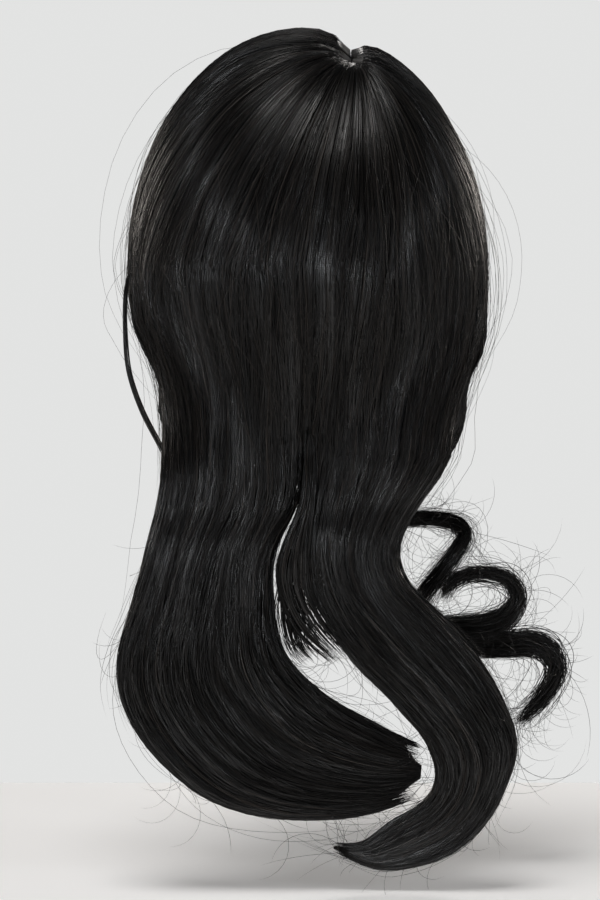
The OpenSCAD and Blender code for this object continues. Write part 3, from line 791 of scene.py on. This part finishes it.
class WIG_OT_root_hair(bpy.types.Operator):
    """Combs the hair from the whorl and the part line down over the cap and into the tails"""

    bl_idname = "wig.root_hair"
    bl_label = "Root hair"

    def execute(self, context):
        c = context.scene.wig
        rng = np.random.default_rng(7)
        for side, sign in (("left", -1.0), ("right", 1.0)):
            self.packed(side, sign, 0.0, 92.3, 112.0, 46)
            self.packed(side, sign, 92.0, 124.6, 84.0, 22, front=True)
            count = c.root_count
            a = sign * rng.uniform(-5, 92, count)
            lift = rng.normal(0, 0.25, count)
            made = root_strands(rng, sign, a, rng.uniform(104, 215, count), 36,
                                np.full(count, c.radius / MM), lift)
            for piece in split("root_hair_" + side, *made, finish_of("strand_fibre")):
                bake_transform(piece)
            count = int(c.root_count * 0.55)
            a = sign * (91.2 + 33.6 * rng.uniform(0, 1, count) ** 0.9)
            lift = rng.normal(0, 0.22, count)
            made = root_strands(rng, sign, a, rng.uniform(70, 120, count), 28,
                                np.full(count, c.radius / MM), lift)
            for piece in split("front_hair_strands_" + side, *made, finish_of("strand_fibre")):
                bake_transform(piece)
        return {"FINISHED"}

    def packed(self, side, sign, low, high, reach, columns, front=False):
        """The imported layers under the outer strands, down to the net."""
        a = sign * np.linspace(low, high, columns)
        drop = np.concatenate([np.linspace(0.5, ARC, 25), ARC + np.linspace(6, reach, 12)])
        az, d = np.meshgrid(a, drop)
        outside = root_path(sign, az, d, np.full_like(az, -1.1))
        t, z = np.clip(d / ARC, 0.03, 1), -np.maximum(d - ARC, 0)
        zero = np.zeros_like(az)
        inside = np.where((d < ARC)[..., None], in_dome(az, t, zero), hanging_in(az, z, zero))
        keep = np.where(d < ARC, 1.0, 1 - 0.95 * ease((-z - 30) / 55))[..., None]
        inside = outside + (inside - outside) * keep
        facts = told(az / 360 + 0.5, d / (ARC + 320), zero + 0.5, az.shape)
        piece = sheet_skin(("front_packed_" if front else "root_packed_") + side, outside, inside, facts,
                           finish_of("packed_fibre"))
        if front:
            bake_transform(piece)
            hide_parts("front_hair_" + side)
        else:
            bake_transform(piece)
            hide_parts("back_hair_" + side, "side_hair_" + side)


class WIG_OT_tails(bpy.types.Operator):
    """Builds the two tails and the small wisps between them"""

    bl_idname = "wig.tails"
    bl_label = "Tails"

    def execute(self, context):
        c = context.scene.wig
        rng = np.random.default_rng(17)
        for side, rows, last, twist in (("left", LEFT_TAIL, 14.25, -46.0), ("right", RIGHT_TAIL, 18.3, 60.0)):
            piece = self.core(side, rows)
            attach(piece, side + "_tail")
            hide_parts(side + "_tail")
            count = c.tail_count
            made = tail_strands(rng, rows, count, 38, np.full(count, c.radius / MM), last, twist)
            for piece in split(side + "_tail_strands", *made, finish_of("strand_fibre")):
                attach(piece, side + "_tail")
        made = tail_strands(rng, MIDDLE, 330, 26, np.full(330, 0.25), 9.9, 20.0)
        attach(strands("middle_strands", *made, finish_of("strand_fibre")), "right_tail")
        paths, radii, facts = tail_strands(rng, WISP, 110, 24, np.full(110, 0.19), 5.0, 30.0)
        apart = rng.normal(0, 1, (110, 1, 3)) * np.array([2.6, 1.0, 2.0])
        grown = ease(np.linspace(0, 1, 24) * 1.6)[None, :, None]
        piece = strands("centre_wisp_strands", paths + apart * grown, radii, facts, finish_of("strand_fibre"))
        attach(piece, "right_tail")
        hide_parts("centre_wisp")
        return {"FINISHED"}

    def core(self, side, rows):
        """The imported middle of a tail."""
        s = np.concatenate([[-0.9, -0.5], np.arange(0, len(rows) - 0.7, 0.25)])
        angle = np.linspace(-180, 180, 73)[:-1]
        turn, row = np.meshgrid(angle, s)
        thick = np.clip(along(rows, np.maximum(row, 0))[..., 5] / 10, 0.15, 1)
        ridge = tail_ridge(turn, row, along(rows, np.maximum(row, 0))[..., 5])
        closing = np.minimum(0.3 + 0.7 * ease((row + 0.9) / 2.4), 0.25 + 0.75 * (len(rows) - 0.7 - row) / 1.2)
        closing = np.minimum(closing, 1)[..., None]
        rings = on_tail(rows, row, turn, ridge - 1.5 * thick, 0.97)
        middle = rings.mean(axis=1, keepdims=True)
        rings = middle + (rings - middle) * closing
        facts = told((turn + 180) / 360, 0.3 + 0.7 * row / len(rows), row * 0 + 0.5, row.shape)
        return ring_skin(side + "_tail_core", rings, facts, finish_of("packed_fibre"))


class WIG_OT_locks(bpy.types.Operator):
    """Builds the front locks, the curls at the right and the loose strand"""

    bl_idname = "wig.locks"
    bl_label = "Locks and curls"

    def execute(self, context):
        rng = np.random.default_rng(27)
        self.lock(rng, "left_front_lock", "left_front", LEFT_LOCK, -1.5, 8.0, 200, 30, 0.29, 0.6)
        self.lock(rng, "right_front_lock", "right_front", RIGHT_LOCK, -1.5, 5.7, 200, 24, 0.29, 0.3, 1.7)
        self.lock(rng, "curl_upper", "right_front", RIGHT_LOCK, 4.3, 13.1, 120, 48, 0.18, 0.8)
        self.lock(rng, "curl_middle", "right_front", RIGHT_LOCK, 12.5, 23.0, 190, 52, 0.16, 2.2)
        self.lock(rng, "curl_lower", "right_front", LOWER_CURL, -0.3, 9.0, 200, 44, 0.16, 2.9)
        self.lock(rng, "loose_strand", "cap", LOOSE_STRAND, 0.0, 6.0, 30, 40, 0.2, 0.4)
        return {"FINISHED"}

    def lock(self, rng, node, body, rows, first, last, count, points, radius, spread, ragged=0.5):
        made = lock_strands(rng, rows, count, points, np.full(count, radius), first, last, spread, ragged)
        piece = strands(node + "_strands", *made, finish_of("strand_fibre"))
        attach(piece, body)
        s = np.linspace(first + 0.25, last - 0.4 - 0.5 * (ragged > 1), int((last - first) * 6))
        turn, row = np.meshgrid(np.linspace(-180, 180, 21)[:-1], s)
        rings = on_lock(rows, row, turn, -0.25 + 0 * row, 0.8 if first < 0 else 0.6)
        middle = rings.mean(axis=1, keepdims=True)
        closing = np.minimum(0.3 + 0.35 * (row - s[0]), 0.3 + 0.7 * (s[-1] - row) / 0.9)
        rings = middle + (rings - middle) * np.minimum(closing, 1)[..., None]
        facts = told((turn + 180) / 360, 0.4 + 0.6 * row / last, row * 0 + 0.5, row.shape)
        core = ring_skin(node + "_core", rings, facts, finish_of("packed_fibre"))
        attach(core, body)
        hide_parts(node)


class WIG_OT_flyaways(bpy.types.Operator):
    """Lets single fine strands stand off the hair and the tails"""

    bl_idname = "wig.flyaways"
    bl_label = "Flyaways"

    def execute(self, context):
        rng = np.random.default_rng(37)
        count, points = context.scene.wig.fly_count, 21
        low, high = (np.array(v) / MM for v in CAD_BOX)
        margin = 0.03 * (high - low) + 8
        low, high = low - margin, high + margin
        u = np.linspace(0, 1, points)[None, :]
        for side, sign in (("left", -1.0), ("right", 1.0)):
            a = sign * rng.uniform(4, 90, count)
            begin = rng.uniform(20, 200, count)[:, None]
            length = rng.uniform(60, 230, count)[:, None]
            drop = begin + length * u
            height = rng.gamma(1.3, 4.6, count)[:, None]
            height = height * np.sin(math.pi * u ** rng.uniform(0.6, 1.4, count)[:, None])
            across = a[:, None] + rng.normal(0, 5, count)[:, None] * u + 2 * ripple(u * 3 + a[:, None], 41)
            paths = root_path(sign, across, drop, height)
            self.finish("root_flyaways_" + side, rng, paths, low, high, side + "_tail", True)
            a = sign * rng.uniform(2, 78, count)[:, None]
            drop = rng.uniform(100, 200, count)[:, None] + rng.uniform(50, 130, count)[:, None] * u
            across = a + rng.normal(0, 14, count)[:, None] * (u - 0.5) + 2 * ripple(u * 2 + a, 42)
            paths = root_path(sign, across, drop, rng.uniform(0.8, 3.0, count)[:, None] + 0 * u)
            # The stray strands get the pale colour: a painted highlight for the light that strands lifted off
            # the hair catch.
            self.finish("stray_strands_" + side, rng, paths, low, high, side + "_tail", True, 1.0)
            rows = LEFT_TAIL if sign < 0 else RIGHT_TAIL
            start = rng.uniform(0.5, len(rows) - 5, count)[:, None]
            s = start + rng.uniform(2, 7, count)[:, None] * u
            angle = rng.uniform(-180, 180, count)[:, None] + rng.normal(0, 25, count)[:, None] * u
            height = rng.gamma(1.4, 2.8, count)[:, None]
            free_end = rng.uniform(0, 1, count)[:, None] < 0.5
            height = height * np.where(free_end, u ** 1.3, np.sin(math.pi * u))
            paths = on_tail(rows, s, angle, height)
            curl = np.stack([ripple(u * 3 + start * 9, 43 + k) for k in range(3)], -1)
            paths = paths + curl * 3 * u[..., None]
            self.finish("tail_flyaways_" + side, rng, paths, low, high, side + "_tail", False)
        start = rng.uniform(2, 16, count)[:, None]
        s = start + rng.uniform(2, 8, count)[:, None] * u
        angle = rng.uniform(-180, 180, count)[:, None] + 0 * u
        paths = on_lock(RIGHT_LOCK, np.minimum(s, 24), angle, rng.gamma(1.2, 2.4, count)[:, None] * u)
        curl = np.stack([ripple(u * 3 + start * 9, 47 + k) for k in range(3)], -1)
        paths = paths + curl * 7 * u[..., None]
        self.finish("curl_flyaways", rng, paths, low, high, "right_front", False)
        for name, place, rows, first, last, number, body in (
            ("curl_fuzz", on_lock, RIGHT_LOCK, 4.6, 22, 300, "right_front"),
            ("lower_curl_fuzz", on_lock, LOWER_CURL, 1, 8.6, 240, "right_front"),
            ("left_tail_fuzz", on_tail, LEFT_TAIL, 2, 14, 240, "left_tail"),
            ("right_tail_fuzz", on_tail, RIGHT_TAIL, 2, 18, 240, "right_tail"),
            ("middle_fuzz", on_tail, MIDDLE, 2, 9, 120, "right_tail"),
        ):
            self.fuzz(name, rng, place, rows, first, last, number, low, high, body)
        return {"FINISHED"}

    def fuzz(self, name, rng, place, rows, first, last, count, low, high, body):
        """Short fine hairs that leave the surface in arcs."""
        s = rng.uniform(first, last, count)
        angle = rng.uniform(-180, 180, count)
        here, ahead = place(rows, s, angle, 0 * s), place(rows, s + 0.05, angle, 0 * s)
        way = (ahead - here) / np.linalg.norm(ahead - here, axis=-1, keepdims=True)
        way = way + rng.normal(0, 0.35, (count, 3)) * np.array([1, 0.5, 1])
        way /= np.linalg.norm(way, axis=-1, keepdims=True)
        side = np.cross(way, rng.normal(0, 1, (count, 3)) * np.array([0.5, 1, 0.5]))
        side /= np.linalg.norm(side, axis=-1, keepdims=True)
        u = np.linspace(0, 1, 13)[None, :, None]
        bend = rng.uniform(0.4, 3.6, (count, 1, 1))
        length = rng.gamma(2.4, 10, (count, 1, 1)) + 8
        arc = way[:, None] * np.sin(bend * u) + side[:, None] * (1 - np.cos(bend * u))
        paths = here[:, None] + length / bend * arc
        inside = ((paths > low) & (paths < high)).all(axis=(1, 2))
        self.finish(name, rng, paths[inside], low, high, body, False)

    def finish(self, name, rng, paths, low, high, body, crossing, highlight_paleness=0.9):
        count, points = paths.shape[:2]
        paths = np.clip(paths, low, high)
        radii = taper(count, points, rng.uniform(0.06, 0.10, count), root=0.05, tip=0.3)
        # A highlight paleness of 1.0 gives most strands the pale colour, a painted highlight; at 0.9 they
        # come out between the dark and warm colours.
        shade = highlight_paleness - (1.06 - highlight_paleness) * 5 * rng.uniform(0, 1, count)[:, None] ** 2
        facts = told(np.clip(shade, 0, 1), 0.6, 0.5, (count, points))
        piece = strands(name, paths, radii, facts, finish_of("strand_fibre"))
        if crossing:
            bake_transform(piece)
        else:
            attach(piece, body)


class WIG_OT_stage(bpy.types.Operator):
    """Sets the plain floor and backdrop, the lights and the camera"""

    bl_idname = "wig.stage"
    bl_label = "Stage"

    def execute(self, context):
        c = context.scene.wig
        f = Finish("plain_backdrop", Roughness=0.9, Specular_IOR_Level=0.1)
        mottle = f.noise(f.place(), 1.5, 2.0)
        table_top = [min(v * 1.27, 0.97) for v in c.backdrop]
        f.wire(f.blend(mottle, rgba([v * 0.985 for v in table_top]), rgba(table_top)), "Base Color")
        self.fade(f, c.backdrop)
        work = bmesh.new()
        bmesh.ops.create_grid(work, x_segments=1, y_segments=1, size=1.0)
        for v in work.verts:
            v.co = Vector((v.co.x * 3, 0.36 if v.co.y > 0 else -3.0, -0.322))
        mesh = bpy.data.meshes.new("table_top")
        work.to_mesh(mesh)
        work.free()
        mesh.materials.append(f.material)
        floor = bpy.data.objects.new("table_top", mesh)
        context.scene.collection.objects.link(floor)
        self.room(context, c.backdrop)
        for name, place, size, power, colour in (
            ("key", (-0.75, -2.25, 0.05), 0.45, 17, (0.93, 0.96, 1.0)),
            ("window", (1.7, -1.7, 0.6), 0.5, 6, (0.92, 0.96, 1.0)),
            ("top", (-0.3, -0.7, 2.1), 1.2, 32, (1.0, 0.98, 0.96)),
            ("back_left", (-1.5, 1.7, 0.4), 0.8, 8, (1.0, 0.92, 0.84)),
            ("back_right", (1.6, 1.6, 0.4), 0.8, 11, (1.0, 0.92, 0.84)),
            ("front", (0.2, 1.9, 1.05), 0.7, 12, (1.0, 0.97, 0.94)),
        ):
            light = bpy.data.lights.new(name, "AREA")
            light.shape = "DISK"
            light.size = size
            light.energy = power
            light.color = colour
            lamp = bpy.data.objects.new(name, light)
            lamp.location = place
            lamp.rotation_euler = (Vector((0, 0, -0.08)) - Vector(place)).to_track_quat("-Z", "Y").to_euler()
            context.scene.collection.objects.link(lamp)
        self.camera(context, c.distance)
        return {"FINISHED"}

    def fade(self, f, colour):
        """Lets the floor turn into the plain colour of the wall away from the wig."""
        away = f.add("ShaderNodeVectorMath", {"operation": "LENGTH"}, f.place(), output=0)
        seen = f.add("ShaderNodeLightPath", {}, output=0)
        plain = f.nodes.new("ShaderNodeEmission")
        plain.inputs["Color"].default_value = rgba(colour)
        mix = f.nodes.new("ShaderNodeMixShader")
        f.links.new((away.between(0.62, 1.15) * seen).socket, mix.inputs[0])
        f.links.new(f.shader.outputs[0], mix.inputs[1])
        f.links.new(plain.outputs[0], mix.inputs[2])
        f.links.new(mix.outputs[0], f.nodes["Material Output"].inputs["Surface"])

    def room(self, context, colour):
        """A pale wall for the camera, and dimmer plain light for everything else."""
        world = bpy.data.worlds.new("room")
        context.scene.world = world
        world.use_nodes = True
        nodes, links = world.node_tree.nodes, world.node_tree.links
        wall = nodes["Background"]
        wall.inputs["Color"].default_value = rgba(colour)
        wall.inputs["Strength"].default_value = 1.0
        fill = nodes.new("ShaderNodeBackground")
        fill.inputs["Color"].default_value = (0.93, 0.96, 1.0, 1)
        fill.inputs["Strength"].default_value = 0.07
        path, mix = nodes.new("ShaderNodeLightPath"), nodes.new("ShaderNodeMixShader")
        links.new(path.outputs["Is Camera Ray"], mix.inputs[0])
        links.new(fill.outputs[0], mix.inputs[1])
        links.new(wall.outputs[0], mix.inputs[2])
        links.new(mix.outputs[0], nodes["World Output"].inputs["Surface"])

    def camera(self, context, distance):
        lens = bpy.data.cameras.new("camera")
        lens.sensor_width = 22.3
        lens.lens = 46.3 * distance
        eye = bpy.data.objects.new("camera", lens)
        eye.location = (-0.0043, -distance, -0.043)
        look = Vector((-0.0043, 0, -0.0967)) - eye.location
        eye.rotation_euler = look.to_track_quat("-Z", "Y").to_euler()
        context.scene.collection.objects.link(eye)
        context.scene.camera = eye
        context.scene.view_settings.view_transform = "Standard"


class WIG_PT_panel(bpy.types.Panel):
    """The wig's sizes and colours, and one button for each group of pieces"""

    bl_label = "Costume wig"
    bl_idname = "WIG_PT_panel"
    bl_space_type = "VIEW_3D"
    bl_region_type = "UI"
    bl_category = "Wig"

    def draw(self, context):
        for field in WigSettings.__annotations__:
            self.layout.prop(context.scene.wig, field)
        for step in STEPS:
            self.layout.operator(step.bl_idname)


STEPS = (WIG_OT_finishes, WIG_OT_cap, WIG_OT_root_hair, WIG_OT_tails, WIG_OT_locks, WIG_OT_flyaways,
         WIG_OT_stage)
CLASSES = (WigSettings, *STEPS, WIG_PT_panel)


def register():
    for kind in CLASSES:
        bpy.utils.register_class(kind)
    bpy.types.Scene.wig = PointerProperty(type=WigSettings)


def unregister():
    del bpy.types.Scene.wig
    for kind in reversed(CLASSES):
        bpy.utils.unregister_class(kind)


def main():
    register()
    for step in STEPS:
        group, name = step.bl_idname.split(".")
        getattr(getattr(bpy.ops, group), name)()


if __name__ == "__main__":
    main()
